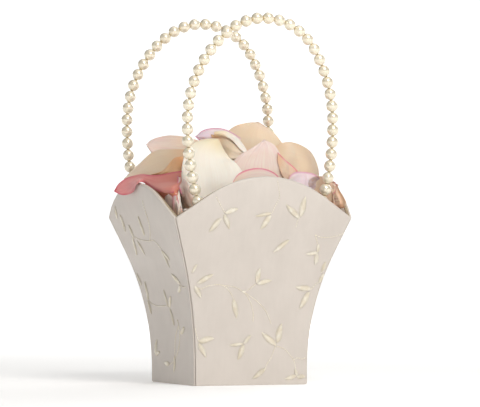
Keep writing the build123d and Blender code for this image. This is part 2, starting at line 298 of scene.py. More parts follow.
def pearl_material():
    """Ivory pearl: a creamy nacre under a clear glossy coat, each bead a little different in tone, with
    painted shade at the necks where the beads meet.
    """
    n = Nodes("pearl")
    tone = n.attribute("tone").outputs["Fac"]
    place = n.object_coordinates()
    cloud = n.noise(place, 160.0, 2.0, 0.5)
    shift = n.math("ADD", n.math("MULTIPLY", tone, 0.7), n.math("MULTIPLY", cloud, 0.3), clamp=True)
    body = n.mix(shift, linear(0.92, 0.875, 0.775), linear(0.955, 0.92, 0.84))
    # Each bead's neck and the nacre just beside it are painted a darker, yellower colour: painted shade
    # between the beads.
    neck_shade = n.attribute("neck_shade").outputs["Fac"]
    n.set(Base_Color=n.mix(neck_shade, body, linear(0.84, 0.76, 0.58)), Metallic=0.3, Roughness=0.28,
          Specular_IOR_Level=0.7, Coat_Weight=1.0, Coat_Roughness=0.07, Coat_IOR=1.7,
          Subsurface_Weight=0.12, Subsurface_Radius=(1.0, 0.8, 0.6), Subsurface_Scale=0.0012,
          Normal=n.bump(cloud, 0.04, 0.0001))
    return n.material


def petal_material(name, foot, body, tip, edge, edge_width, vein_strength):
    """A rose petal: a yellowish foot, a pale body with fine veins that fan out, and a tinted edge.

    The attribute along runs from the foot to the tip, across from side to side, and rim is the distance
    from the petal's edge, in millimetres.
    """
    n = Nodes(name)
    foot, body, tip, edge = (linear(*colour) for colour in (foot, body, tip, edge))
    along = n.attribute("along").outputs["Fac"]
    across = n.attribute("across").outputs["Fac"]
    rim = n.attribute("rim").outputs["Fac"]
    place = n.object_coordinates()
    cloud = n.noise(place, 70.0, 3.0, 0.55)
    serial = n.attribute("serial").outputs["Fac"]
    fan = {"X": n.math("MULTIPLY", across, 26.0), "Y": n.math("MULTIPLY", along, 1.6), "Z": serial}
    veins = n.noise(n.add("ShaderNodeCombineXYZ", fan).outputs[0], 1.0, 4.0, 0.65)
    streaks = n.ramp(veins, 0.30, 0.72)
    colour = n.mix(n.ramp(along, 0.05, 0.5), foot, body)
    drift = n.math("ADD", along, n.math("MULTIPLY", n.math("SUBTRACT", cloud, 0.5), 0.7))
    colour = n.mix(n.ramp(drift, 0.5, 1.0), colour, tip)
    colour = n.mix(n.math("MULTIPLY", streaks, vein_strength), colour, edge)
    wobble = n.math("ADD", rim, n.math("MULTIPLY", n.math("SUBTRACT", veins, 0.5), edge_width * 0.9))
    patches = n.ramp(n.noise(place, 38.0, 1.0), 0.25, 0.5)
    tinge = n.math("MULTIPLY", n.math("SUBTRACT", 1.0, n.ramp(wobble, 0.0, edge_width)), patches)
    colour = n.mix(tinge, colour, edge)
    grain = n.noise(place, 900.0, 3.0)
    crinkle = n.math("ADD", n.math("MULTIPLY", veins, 0.6), n.math("MULTIPLY", grain, 0.4))
    n.set(Base_Color=colour, Roughness=0.55, Sheen_Weight=0.25, Sheen_Roughness=0.5, Specular_IOR_Level=0.35,
          Subsurface_Weight=0.35, Subsurface_Radius=(1.0, 0.55, 0.4), Subsurface_Scale=0.0022,
          Normal=n.bump(crinkle, 0.4, 0.0004))
    return n.material


def card_material(name, light, dark):
    """Grey-brown chipboard or white wadding: a fibrous mottle."""
    n = Nodes(name)
    place = n.object_coordinates()
    fibre = n.noise(n.scaled(place, (900, 900, 300)), 1.0, 5.0, 0.7)
    n.set(Base_Color=n.mix(n.ramp(fibre, 0.35, 0.7), dark, light), Roughness=0.9, Specular_IOR_Level=0.2,
          Normal=n.bump(fibre, 0.5, 0.0002))
    return n.material


def wire_material():
    """Bright drawn steel wire, with faint die marks along it."""
    n = Nodes("wire")
    place = n.object_coordinates()
    marks = n.noise(n.scaled(place, (2500, 2500, 120)), 1.0, 3.0)
    n.set(Base_Color=linear(0.80, 0.80, 0.79), Metallic=1.0, Roughness=n.spread(marks, 0.22, 0.42),
          Normal=n.bump(marks, 0.1, 0.00005))
    return n.material


def floor_material():
    """A pale floor that glows a little more with distance, so that it stays even up to the backdrop."""
    n = Nodes("floor")
    place = n.object_coordinates()
    level = n.scaled(place, (1.0, 1.0, 0.0))
    distance = n.add("ShaderNodeVectorMath", {0: level}, operation="LENGTH").outputs["Value"]
    n.set(Base_Color=n.mix(n.noise(place, 3.0), linear(0.95, 0.95, 0.95), linear(0.97, 0.97, 0.97)),
          Roughness=0.9, Specular_IOR_Level=0.1, Emission_Color=(1.0, 1.0, 1.0, 1.0),
          Emission_Strength=n.math("ADD", 0.24, n.math("MULTIPLY", n.ramp(distance, 0.25, 1.5), 0.62)))
    return n.material


SATIN = satin_material("satin", linear(0.835, 0.80, 0.765), linear(0.81, 0.775, 0.74))
LINING = satin_material("lining", linear(0.85, 0.82, 0.785), linear(0.81, 0.775, 0.74))
THREAD = thread_material()
PEARL = pearl_material()
WIRE = wire_material()
BOARD = card_material("board", linear(0.74, 0.68, 0.58), linear(0.60, 0.54, 0.45))
PADDING = card_material("padding", linear(0.96, 0.96, 0.94), linear(0.88, 0.88, 0.86))
# Of each petal look: the foot, body, tip and edge, the edge's width, and how far the veins take its colour
PETAL_COLOURS = {
    "petal_cream": ((0.95, 0.87, 0.72), (0.98, 0.93, 0.87), (0.98, 0.92, 0.87),
                     (0.95, 0.84, 0.77), 2.0, 0.24),
    "petal_peach": ((0.88, 0.7, 0.54), (0.91, 0.81, 0.7), (0.92, 0.82, 0.73),
                     (0.89, 0.7, 0.62), 2.5, 0.24),
    "petal_blush": ((0.93, 0.83, 0.71), (0.93, 0.84, 0.78), (0.95, 0.86, 0.82),
                     (0.87, 0.44, 0.55), 1.7, 0.24),
    "petal_coral": ((0.86, 0.56, 0.4), (0.85, 0.5, 0.38), (0.86, 0.52, 0.44),
                     (0.82, 0.38, 0.38), 1.6, 0.34),
    "petal_lilac": ((0.93, 0.85, 0.76), (0.93, 0.86, 0.87), (0.92, 0.84, 0.88),
                     (0.86, 0.62, 0.72), 1.8, 0.24),
    "petal_tan": ((0.88, 0.72, 0.58), (0.9, 0.79, 0.68), (0.91, 0.79, 0.69),
                   (0.86, 0.42, 0.5), 1.6, 0.24),
    # A darker copy of the peach look: painted shade for a peach petal that lies in shadow.
    "petal_peach_shaded": ((0.88, 0.66, 0.48), (0.89, 0.7, 0.53), (0.9, 0.72, 0.56),
                       (0.88, 0.62, 0.5), 1.6, 0.24),
    "petal_rose": ((0.86, 0.55, 0.48), (0.88, 0.6, 0.57), (0.88, 0.58, 0.58),
                    (0.8, 0.34, 0.42), 1.8, 0.36),
}
PETAL_LOOKS = {name: petal_material(name, *colours) for name, colours in PETAL_COLOURS.items()}
PETAL_SLOTS = {"petal_tan": "petal_peach", "petal_peach_shaded": "petal_peach", "petal_rose": "petal_coral"}


# ---- The wall's shape -----------------------------------------------------------------------------
def wall(z):
    """Distance of the outer surface from the middle, and its lean from upright, at heights z."""
    z = np.asarray(z, float)
    on_flare = np.arcsin(np.clip((z - FLARE_START) / FLARE_RADIUS, 0, sin(FLARE_ANGLE)))
    on_lip = np.arcsin(np.clip((LIP_CENTRE[1] - z) / LIP_RADIUS, sin(LIP_ANGLE), sin(FLARE_ANGLE)))
    flare = BASE_HALF + FLARE_RADIUS * (1 - np.cos(on_flare))
    straight = (np.clip(z, FLARE_END, CORNER_HEIGHT) - FLARE_END) * tan(FLARE_ANGLE)
    lip = LIP_RADIUS * (np.cos(on_lip) - cos(FLARE_ANGLE))
    over = np.maximum(z - LIP_END, 0) * tan(LIP_ANGLE)
    return flare + straight + lip + over, np.where(z < CORNER_HEIGHT, on_flare, on_lip)


def rim_height(x, side):
    """Height of a side's rim at a place across the panel: an arch between two straight ends."""
    x = np.abs(np.asarray(x, float))
    rise = PEAK_HEIGHTS[side] - CORNER_HEIGHT
    slope = tan(RIM_ANGLE)
    radius = (CORNER_DISTANCE * slope - rise) / (sin(RIM_ANGLE) * slope + cos(RIM_ANGLE) - 1)
    half = radius * sin(RIM_ANGLE)
    arc = PEAK_HEIGHTS[side] - radius + np.sqrt(np.maximum(radius**2 - np.minimum(x, half) ** 2, 0))
    return arc - np.maximum(x - half, 0) * slope


def wall_point(x, z, depth):
    """A point of the front panel at a depth under its outer surface."""
    distance, lean = wall(z)
    y = depth * np.cos(lean) - distance
    return np.stack(np.broadcast_arrays(x, y, z + depth * np.sin(lean)), -1)


def half_width(z, depth):
    """Half the panel's width at a height and depth, up to the mitred seam."""
    distance, lean = wall(np.minimum(z, CORNER_HEIGHT))
    return distance - depth * np.cos(lean) - SEAM_GAP


# ---- Satin covers ---------------------------------------------------------------------------------
EDGE_ROUND = 1.55  # radius of the padded edge along the seams
RIM_ROUND = PANEL_THICKNESS / 2
FOOT_ROUND = 1.0
TURN_IN = 11.5  # how far the satin comes down inside the rim
SATIN_THICKNESS = 0.35
CLOTH_STEP = 200.0  # between two panels' places on the cloth, for each degree round
RELIEF_SEEDS = {"front": 10, "right": 20, "back": 30, "left": 40}


def relief(x, z, side):
    """How far the satin stands out from the smooth panel: soft waves, and puckers along the rim and seams."""
    seed = RELIEF_SEEDS[side]
    below_rim = rim_height(x, side) - z
    from_seam = half_width(z, 0.0) - np.abs(x)
    soft = 0.16 * waves(x, z, seed, 42.0) + 0.045 * waves(x, z, seed + 1, 13.0)
    rim_pucker = 0.13 * np.exp(-np.maximum(below_rim, 0) / 7.0) * waves(x, 0.25 * z, seed + 2, 6.5)
    seam_pucker = 0.07 * np.exp(-np.maximum(from_seam, 0) / 5.0) * waves(0.2 * x, z, seed + 3, 7.0)
    return soft + rim_pucker + seam_pucker


def cover_point(x, z, side, lift):
    """A point above the satin's face by lift, with the rounding at the seams and the relief."""
    rounding = rounded(half_width(z, 0.0) - np.abs(x), EDGE_ROUND)
    return wall_point(x, z, rounding - relief(x, z, side) - lift)


def satin_cover(side):
    """The embroidered satin: up from the foot, over the rim and down inside, rounded at the seams."""
    turn = SIDES[side]
    angles = np.radians(np.linspace(0, 90, 8))
    edge = [(EDGE_ROUND * (1 - cos(a)), EDGE_ROUND * (1 - sin(a))) for a in angles[:-1]]
    middle = np.linspace(-1, 1, 119)
    columns = [(-1, s, d) for s, d in edge] + [(u, EDGE_ROUND, 0.0) for u in middle] + [
        (1, s, d) for s, d in reversed(edge)]
    u, inset, edge_depth = (np.array(values)[None, :] for values in zip(*columns))

    top = rim_height(u * (CORNER_DISTANCE - inset), side)
    rows = [(0 * top, depth) for depth in (3.2, 2.0, FOOT_ROUND)]
    for a in np.radians([30, 60]):
        rows.append((0 * top + FOOT_ROUND * (1 - cos(a)), FOOT_ROUND * (1 - sin(a))))
    for share in np.linspace(0, 1, 126):
        rows.append((FOOT_ROUND + share * (top - RIM_ROUND - FOOT_ROUND), 0.0))
    for a in np.radians(np.linspace(0, 180, 13)[1:]):
        rows.append((top - RIM_ROUND + RIM_ROUND * sin(a), RIM_ROUND * (1 - cos(a))))
    for drop in (3.0, 5.0, 7.0, 9.0, TURN_IN):
        rows.append((top - drop, PANEL_THICKNESS))
    z = np.concatenate([r[0] for r in rows])
    row_depth = np.array([r[1] for r in rows])[:, None]

    depth = row_depth + edge_depth * (1 - row_depth / PANEL_THICKNESS)
    half = half_width(z, depth)
    x = np.where(np.abs(u) < 1, u * (half - EDGE_ROUND), np.sign(u) * (half - inset))
    face = (1 - row_depth / PANEL_THICKNESS) * smoothstep(inset, 0.5 * EDGE_ROUND, EDGE_ROUND)
    points = wall_point(x, z, depth - relief(x, z, side) * face)
    cloth = np.stack([x + CLOTH_STEP * turn, z + row_depth, 0 * x], -1).reshape(-1, 3)
    points = turned(points.reshape(-1, 3), turn)
    obj = mesh_object(f"{side}_satin", points, grid_faces(*x.shape), {"cloth": cloth})
    thicken(obj, SATIN_THICKNESS)
    dress(obj, SATIN, "basket", "satin", f"{side}_satin_cover")


def slab(name, side, front, back, rim_drop, foot, round_edge, margin, seed):
    """A closed sheet between two depths that follows the wall, with rounded edges."""
    turn = SIDES[side]
    u = np.linspace(-1, 1, 61)[None, :]
    share = np.linspace(0, 1, 71)[:, None]
    top = rim_height(u * (CORNER_DISTANCE - margin), side) - rim_drop
    z = foot + share * (top - foot)
    width = half_width(z, back)
    x = u * (width - margin)
    inset = np.minimum((1 - np.abs(u)) * width, np.minimum(1 - share, share) * (top - foot))
    rounding = rounded(inset, round_edge)
    bulge = 0.1 * waves(x, z, seed, 24.0)
    layers = [wall_point(x, z, front + rounding), wall_point(x, z, back - rounding + bulge)]
    points = turned(np.concatenate(layers).reshape(-1, 3), turn)
    flat = np.stack(np.broadcast_arrays(u * width + CLOTH_STEP * turn, z, 0.0), -1).reshape(-1, 3)
    return mesh_object(name, points, slab_faces(*z.shape), {"cloth": np.tile(flat, (2, 1))})


def wadding(side):
    obj = slab(f"{side}_wadding", side, front=0.5, back=1.62, rim_drop=1.9, foot=1.2, round_edge=0.5,
               margin=1.4, seed=3)
    dress(obj, PADDING, "basket", "padding", f"{side}_padding")


def lining(side):
    obj = slab(f"{side}_lining_card", side, front=3.6, back=4.35, rim_drop=2.0, foot=2.55, round_edge=0.32,
               margin=0.25, seed=40 + SIDES[side])
    dress(obj, LINING, "basket", "lining", f"{side}_lining")


# ---- Embroidery -----------------------------------------------------------------------------------
LEAF_THREAD = 0.25
LEAF_PITCH = 0.55
LEAF_SLANT = radians(58)
STEM_THREAD = 0.3
KNOT_THREAD = 0.24
THREAD_SIDES = 6


class Threads:
    """Gathers the stitches of one panel into one mesh. Each stitch is a tapered tube on the satin.

    flip=-1 mirrors the design, and rise moves it up the cloth.
    """

    def __init__(self, side, flip, rise):
        self.side, self.flip, self.rise = side, flip, rise
        self.points, self.faces, self.along, self.count = [], [], [], 0

    def stitch(self, x, z, lift, radius):
        """One stitch through the places x, z on the panel, with its middle line above the satin by lift."""
        z = np.asarray(z, float) + self.rise
        limit = half_width(z, 0.0) - 0.4
        x = np.clip(self.flip * np.asarray(x, float), -limit, limit)
        path = cover_point(x, z, self.side, lift)
        outward = cover_point(x, z, self.side, 1.0) - cover_point(x, z, self.side, 0.0)
        outward /= np.linalg.norm(outward, axis=1, keepdims=True)
        tangent = np.gradient(path, axis=0)
        tangent /= np.linalg.norm(tangent, axis=1, keepdims=True) + 1e-9
        beside = np.cross(tangent, outward)
        taper = radius * np.sin(np.linspace(0.09, pi - 0.09, len(x))) ** 0.3
        turn = np.linspace(0, 2 * pi, THREAD_SIDES, endpoint=False)[None, :, None]
        ring = np.cos(turn) * beside[:, None, :] + np.sin(turn) * outward[:, None, :]
        self.points.append((path[:, None, :] + ring * taper[:, None, None]).reshape(-1, 3))
        last = self.count + (len(x) - 1) * THREAD_SIDES
        self.faces += grid_faces(len(x), THREAD_SIDES, self.count, close_columns=True).tolist()
        self.faces.append([self.count + k for k in reversed(range(THREAD_SIDES))])
        self.faces.append([last + k for k in range(THREAD_SIDES)])
        length = np.concatenate([[0], np.cumsum(np.linalg.norm(np.diff(path, axis=0), axis=1))])
        self.along.append(np.repeat(length, THREAD_SIDES))
        self.count += len(x) * THREAD_SIDES

    def leaf(self, x, z, heading, length, width=3.6):
        """A leaf in satin stitch: parallel threads laid aslant across it, with a point at each end."""
        heading = radians(heading)
        foot = z + self.rise
        if min(foot, foot + length * sin(heading)) <= 3 or foot >= rim_height(x, self.side) - 4:
            return
        along = np.array([cos(heading), sin(heading)])
        across = np.array([cos(heading + LEAF_SLANT), sin(heading + LEAF_SLANT)])
        number = int(length / LEAF_PITCH)
        q = np.linspace(-1, 1, 6)
        for k in range(number):
            t = (k + 0.5) / number
            half = 0.5 * width * sin(pi * t**0.82) ** 0.8 / sin(LEAF_SLANT) + 0.12
            place = np.array([x, z]) + along * t * length + across * (q * half)[:, None]
            crown = 0.12 + 0.42 * np.sqrt(1 - q**2) * min(1.0, half / 1.2)
            self.stitch(place[:, 0], place[:, 1], crown, LEAF_THREAD)

    def stem(self, *points, stitch=1.9, gap=0.25):
        """A stem in back stitch along a smooth curve through the points that are on the panel."""
        kept = [(x, z) for x, z in points if 1.5 < z + self.rise < rim_height(x, self.side) - 0.5]
        if len(kept) < 2:
            return
        curve = smooth_curve(kept, 24 * (len(kept) - 1) + 1)
        length = np.concatenate([[0], np.cumsum(np.linalg.norm(np.diff(curve, axis=0), axis=1))])
        for start in np.arange(0, length[-1] - 0.5 * stitch, stitch):
            s = np.linspace(start, min(start + stitch - gap, length[-1]), 6)
            lift = 0.02 + 0.2 * np.sin(np.linspace(0, pi, 6))
            x, z = (np.interp(s, length, curve[:, axis]) for axis in (0, 1))
            self.stitch(x, z, lift, STEM_THREAD)

    def knot(self, x, z):
        """A small cluster of crossing stitches where stems part."""
        t = np.linspace(-1, 1, 5)
        lift = 0.15 + 0.25 * (1 - t**2)
        for heading in np.radians([20, 80, 140]):
            dx, dz = 1.1 * self.flip * cos(heading), 1.1 * sin(heading)
            self.stitch(x + dx * t, z + dz * t, lift, KNOT_THREAD)

    def object(self, name):
        points = turned(np.concatenate(self.points), SIDES[self.side])
        return mesh_object(name, points, self.faces, {"along": np.concatenate(self.along)})


def front_vines(threads):
    """The trailing vines of the front panel."""
    leaf, stem = threads.leaf, threads.stem
    leaf(-29, 116, 15, 9.5, 3.4)
    leaf(-29, 115, -64, 11, 3.6)
    leaf(-31, 112, 229, 11.5, 4.2)
    stem((-29, 116), (-32.5, 121), (-36, 126.5))
    leaf(4.6, 115.6, 190, 11.5, 2.4)
    leaf(4.4, 114, 235, 11, 4.2)
    stem((5, 116), (6.5, 120), (9.2, 126), (8.6, 132), (7.4, 138), stitch=1.5, gap=0.5)
    leaf(25, 112, 138, 14, 4.0)
    leaf(25.5, 113.4, 78, 13.5, 4.6)
    stem((25.2, 113), (24, 109), (23.5, 105))
    leaf(20, 97.4, 218, 13, 3.4)
    stem((38.5, 101), (43.5, 99.4), (49, 99.3), (54, 100.2), (59.5, 102), stitch=2.2, gap=0.45)
    leaf(42, 89, 185, 8.6, 2.6)
    leaf(41.8, 89.5, 86, 5.5, 2.4)
    leaf(42.2, 88.6, 263, 7.5, 3.6)
    stem((42, 89), (41, 95), (38.5, 101))
    leaf(49.2, 82.5, 250, 7.5, 2.8)
    leaf(45.8, 69, 62, 6.5, 2.8)
    leaf(-42.4, 69, 27, 12.5, 3.6)
    leaf(-43.4, 67.2, 300, 9.5, 3.4)
    leaf(-46.8, 76, 60, 6.5, 2.2)
    stem((-41, 66), (-38.9, 65), (-34, 67), (-28.8, 67.8), (-24, 67.4), (-20, 65), (-16.6, 61), (-14.8, 57.5))
    leaf(-14.6, 58, 282, 13.2, 4.2)
    leaf(0.2, 69, 80, 10, 4.2)
    leaf(0.8, 68.6, 10, 10.5, 3.2)
    stem((-24, 67.4), (-16, 66.4), (-12, 65), (-8.2, 63), (-4, 65), (0, 68.4))
    threads.knot(-8.2, 63)
    stem((-8.2, 63), (-4.5, 59), (-1.6, 53.5), (0, 48), (0.2, 42.6), gap=0.15)
    stem((-8.2, 63), (-1.5, 59), (4.5, 54.5), (9.5, 49), (13.4, 41), gap=0.15)
    leaf(40, 64.2, 170, 10.8, 4.0)
    leaf(39.6, 62.4, 240, 12.8, 4.4)
    stem((40.2, 64), (43, 67), (45.6, 69))
    leaf(17.4, 26.4, 139, 14, 4.4)
    leaf(18, 28.6, 76, 13, 5.0)
    leaf(-6.2, 28.2, 45, 7.6, 3.0)
    leaf(-6.6, 27.8, 184, 9.6, 2.4)
    leaf(-5.6, 27, 245, 10.6, 4.2)
    leaf(-38.4, 30.2, 8, 11, 4.4)
    leaf(-38, 28.6, 298, 10.8, 4.0)
    stem((-38.4, 30), (-40, 34), (-41.4, 39))
    stem((17, 26), (15.6, 22.5), (13.8, 18), (11.4, 14.5), (9.8, 11))
    leaf(10, 10.8, 214, 11.5, 3.4)
    stem((18, 26), (23, 24.5), (27, 21), (30.4, 16.8), (32, 11), (32.6, 7))
    stem((30.4, 16.8), (33.6, 18), (36.5, 17.2), (40, 18.4))
    leaf(32.6, 5.8, 192, 8.6, 3.2)
    leaf(32.8, 6.0, 100, 4.6, 2.6)
    leaf(33, 5.6, 354, 6.0, 3.4)


def side_vines(threads):
    """The vines of the left panel, which the right one mirrors."""
    leaf, stem = threads.leaf, threads.stem
    leaf(-43, 120, 250, 9.0, 3.4)
    leaf(-37, 114, 262, 11.5, 4.2)
    leaf(-27, 107.5, 272, 9.5, 4.0)
    leaf(-28, 98.5, 248, 12.5, 3.6)
    leaf(-21.5, 97, 296, 11.0, 3.2)
    stem((-25, 99.6), (-18, 98), (-8, 97), (2, 96.8), (9, 97.4), (15, 94.5), (18.5, 91))
    stem((2, 96.8), (9, 103), (13, 112), (12, 124))
    leaf(-4.5, 100.5, 86, 13.0, 4.4)
    leaf(19, 91, 286, 12.5, 3.8)
    leaf(19.8, 90, 322, 10.0, 3.0)
    leaf(-41, 66, 110, 9.0, 3.4)
    leaf(-33.5, 56.5, 84, 12.5, 4.2)
    leaf(-34, 55.5, 280, 9.0, 4.0)
    stem((-33.5, 56), (-27, 53.5), (-18, 52.4), (-8, 52.6), (2, 53))
    leaf(2, 52, 95, 12.0, 3.6)
    leaf(4, 52.5, 42, 10.5, 3.6)
    leaf(5, 51, 286, 12.0, 3.8)
    leaf(34, 68, 148, 13.0, 3.8)
    leaf(33.6, 66.5, 208, 8.0, 3.4)
    stem((34.4, 67.4), (39, 66), (44.5, 66.8))
    stem((16, 44), (17, 36), (15.4, 28), (10, 21), (2.5, 15.6), (-6, 12.6), gap=0.15)
    stem((16.6, 40), (9.5, 33), (6.6, 26), (5, 18.6))
    leaf(5, 18.8, 258, 11.0, 3.8)
    leaf(-6, 12.6, 170, 9.5, 3.4)
    leaf(27, 38.5, 205, 9.5, 3.4)
    leaf(-32, 20, 62, 10.5, 3.8)
    leaf(-31.5, 19.4, 8, 8.5, 3.0)


VINES = {"front": (front_vines, 1, 0.0), "right": (side_vines, -1, 6.0), "back": (front_vines, -1, -7.0),
         "left": (side_vines, 1, 0.0)}


def embroidery(side):
    draw, flip, rise = VINES[side]
    threads = Threads(side, flip, rise)
    draw(threads)
    dress(threads.object(f"{side}_embroidery"), THREAD, "basket", "thread")


# ---- Base -----------------------------------------------------------------------------------------
def plate(name, node, edge, seed, sag):
    """A satin-covered square plate with rounded edges in a node's place."""
    low, high = (np.array(corner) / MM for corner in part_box(node))
    half = (high[0] - low[0]) / 2
    share = np.sin(np.linspace(-pi / 2, pi / 2, 45))
    x, y = np.meshgrid(share * half, share * half)
    inset = half - np.maximum(np.abs(x), np.abs(y))
    give = rounded(inset, edge) + np.abs(sag * waves(x, y, seed, 20.0) * smoothstep(inset, 0, edge))
    layers = [np.stack([x, y, high[2] - give], -1), np.stack([x, y, low[2] + give], -1)]
    points = np.concatenate(layers).reshape(-1, 3)
    return mesh_object(name, points, slab_faces(*x.shape), {"cloth": points})


def base():
    base_cloth = plate("base_cloth", "base_satin", edge=0.18, seed=5, sag=0.03)
    dress(base_cloth, SATIN, "basket", "satin", "base_satin")
    floor_card = plate("floor_card", "floor_lining", edge=0.38, seed=6, sag=0.08)
    dress(floor_card, LINING, "basket", "lining", "floor_lining")


# ---- Handles --------------------------------------------------------------------------------------
PEARL_RADIUS = 4.0
NECK_RADIUS = 1.15
NECK_REACH = 4.03
HOLE_RADIUS = 0.62
TAB_CLOTH = 0.4
TAB_LOOP_RADIUS = 1.12
LINING_FACE = 4.4  # depth of the lining's inner face under the satin
LONG_END_DEPTH = 4.95
SHORT_END_DEPTH = 5.5  # the ribbon's short end lies on its long one


def bead_centres(node):
    """The middle of each bead of a handle, in order round the arch, from the node's own mesh."""
    mesh = frame["nodes"][node].data
    points = np.array([v.co for v in mesh.vertices]) / MM
    edges = np.array([e.vertices[:] for e in mesh.edges])
    _, first = np.unique(np.round(points, 3), axis=0, return_inverse=True)
    edges = first.ravel()[edges]
    label = np.arange(first.max() + 1)
    while True:
        lowest = np.minimum(label[edges[:, 0]], label[edges[:, 1]])
        updated = label.copy()
        np.minimum.at(updated, edges[:, 0], lowest)
        np.minimum.at(updated, edges[:, 1], lowest)
        updated = updated[updated]
        if (updated == label).all():
            break
        label = updated
    label = label[first.ravel()]
    beads = [points[label == k] for k in np.unique(label)]
    centres = np.array([(bead.min(0) + bead.max(0)) / 2 for bead in beads])
    middle = (centres.min(0) + centres.max(0)) / 2
    angle = np.arctan2(centres[:, 0] - middle[0], centres[:, 2] - middle[2])
    return centres[np.argsort(angle)]


def pearls(side):
    """Each bead is a lathed pearl with a short neck at each end, where the next bead sits."""
    centres = bead_centres(f"{side}_handle_pearls")
    axes = np.gradient(centres, axis=0)
    axes /= np.linalg.norm(axes, axis=1, keepdims=True)
    random = np.random.default_rng(7 if side == "front" else 8)
    turn = np.linspace(0, 2 * pi, 32, endpoint=False)
    polar = np.linspace(0, pi, 27)
    neck_angle = asin(NECK_RADIUS / PEARL_RADIUS)
    inner = (polar > neck_angle) & (polar < pi - neck_angle)
    lip = np.array([HOLE_RADIUS, NECK_RADIUS - 0.25, NECK_RADIUS])
    radius = np.concatenate([lip, PEARL_RADIUS * np.sin(polar[inner]), lip[::-1]])
    end = np.array([NECK_REACH, NECK_REACH, NECK_REACH - 0.22])
    height = np.concatenate([end, PEARL_RADIUS * np.cos(polar[inner]), -end[::-1]])
    # Rings on each neck and the nacre just beside it are marked for the darker colour that the material
    # paints there: painted shade between the beads.
    neck_shade = np.clip((np.abs(height) - 3.72) / 0.2, 0, 1)
    points, faces, tone, neck_shades = [], [], [], []
    for k, (centre, axis) in enumerate(zip(centres, axes)):
        side_axis = np.cross(axis, [0.0, 1.0, 0.0])
        side_axis /= np.linalg.norm(side_axis)
        other = np.cross(axis, side_axis)
        swell = 1 + random.uniform(-0.012, 0.006)
        ring = np.cos(turn)[:, None] * side_axis + np.sin(turn)[:, None] * other
        bead = centre + height[:, None, None] * axis + swell * radius[:, None, None] * ring
        count = len(height) * len(turn)
        faces += grid_faces(len(height), len(turn), k * count, close_columns=True).tolist()
        points.append(bead.reshape(-1, 3))
        tone.append(np.full(count, random.uniform(0, 1)))
        neck_shades.append(np.repeat(neck_shade, len(turn)))
    obj = mesh_object(f"{side}_pearls", np.concatenate(points), faces,
                      {"tone": np.concatenate(tone), "neck_shade": np.concatenate(neck_shades)})
    dress(obj, PEARL, f"{side}_handle", "pearl", f"{side}_handle_pearls")
    paint(f"{side}_handle_wire", WIRE)


def lining_distance(z, depth):
    """How far from the middle a point at a depth beside the lining is, at a height."""
    distance, lean = wall(z - LINING_FACE * np.sin(wall(z)[1]))
    return distance - depth * cos(lean)


def tab(side, end):
    """A satin ribbon, folded round the handle's foot and glued down the lining."""
    node = f"{side}_handle_tab_{end}"
    facing = -1 if side == "front" else 1
    low, high = (np.array(corner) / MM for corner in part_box(node))
    pivot = next(joint for joint in frame["joints"] if joint["name"] == f"{side}_handle_tilt")
    _, y0, z0 = np.array(pivot["pos_m"]) / MM
    path = [(facing * lining_distance(z, LONG_END_DEPTH), z) for z in np.linspace(low[2] + 0.2, z0 - 2.2, 9)]
    for a in np.radians(np.linspace(-35, 215, 16)):
        path.append((y0 + facing * TAB_LOOP_RADIUS * cos(a), z0 + TAB_LOOP_RADIUS * sin(a)))
    path += [(facing * lining_distance(z, SHORT_END_DEPTH), z) for z in np.linspace(z0 - 2.0, z0 - 4.6, 5)]
    path = np.array(path)
    x = np.linspace(low[0], high[0], 13)
    points = np.array([[(xi, y, z) for xi in x] for y, z in path])
    length = np.concatenate([[0], np.cumsum(np.linalg.norm(np.diff(path, axis=0), axis=1))])
    cloth = np.stack(np.broadcast_arrays(x[None, :], length[:, None], 0.0), -1)
    faces = grid_faces(*points.shape[:2])
    faces = faces[:, ::-1] if facing > 0 else faces
    cloth = cloth.reshape(-1, 3)
    obj = mesh_object(f"{side}_ribbon_tab_{end}", points.reshape(-1, 3), faces, {"cloth": cloth})
    thicken(obj, TAB_CLOTH)
    dress(obj, LINING, "basket", "lining", node)


# ---- Petals ---------------------------------------------------------------------------------------
HEAP_CENTRE = np.array([0.0, 0.0, 112.0])
HEAP_HALF = (48.0, 42.0)
HEAP_TOP = 44.0
HEAP_BOTTOM = 23.0
PETAL_THICKNESS = 0.32
PETAL_GAP = 0.5  # a petal lies this far above what is under it
WALL_ROOM = 5.2  # petals stay this far under the satin's face
HANDLE_PLANE = 57.3
PIVOT_HEIGHT = 117.5
HANDLE_TILT_IN = radians(23.5)
LEG_REACH_X = 39.4
LEG_ROOM = 5.2
REACH_Y = 52.4  # between the two handles
OPEN_HEIGHT = 135.0  # above this the corners beside the handles are open


def neighbours(values):
    """The grid and the eight grids shifted by one step."""
    p = np.pad(values, 1, mode="edge")
    rows, columns = values.shape
    return [p[r:r + rows, c:c + columns] for r in range(3) for c in range(3)]


def dilated(values, rounds):
    for _ in range(rounds):
        values = np.max(neighbours(values), 0)
    return values


def blurred(values, rounds):
    for _ in range(rounds):
        values = np.mean(neighbours(values), 0)
    return values


def refined(grid, times):
    """A grid of points with more points between them."""
    for _ in range(times):
        rows, columns = grid.shape[:2]
        fine = np.zeros((2 * rows - 1, 2 * columns - 1, grid.shape[2]))
        fine[::2, ::2] = grid
        fine[1::2, ::2] = (grid[1:] + grid[:-1]) / 2
        fine[:, 1::2] = (fine[:, 2::2] + fine[:, :-1:2]) / 2
        grid = fine
    return grid


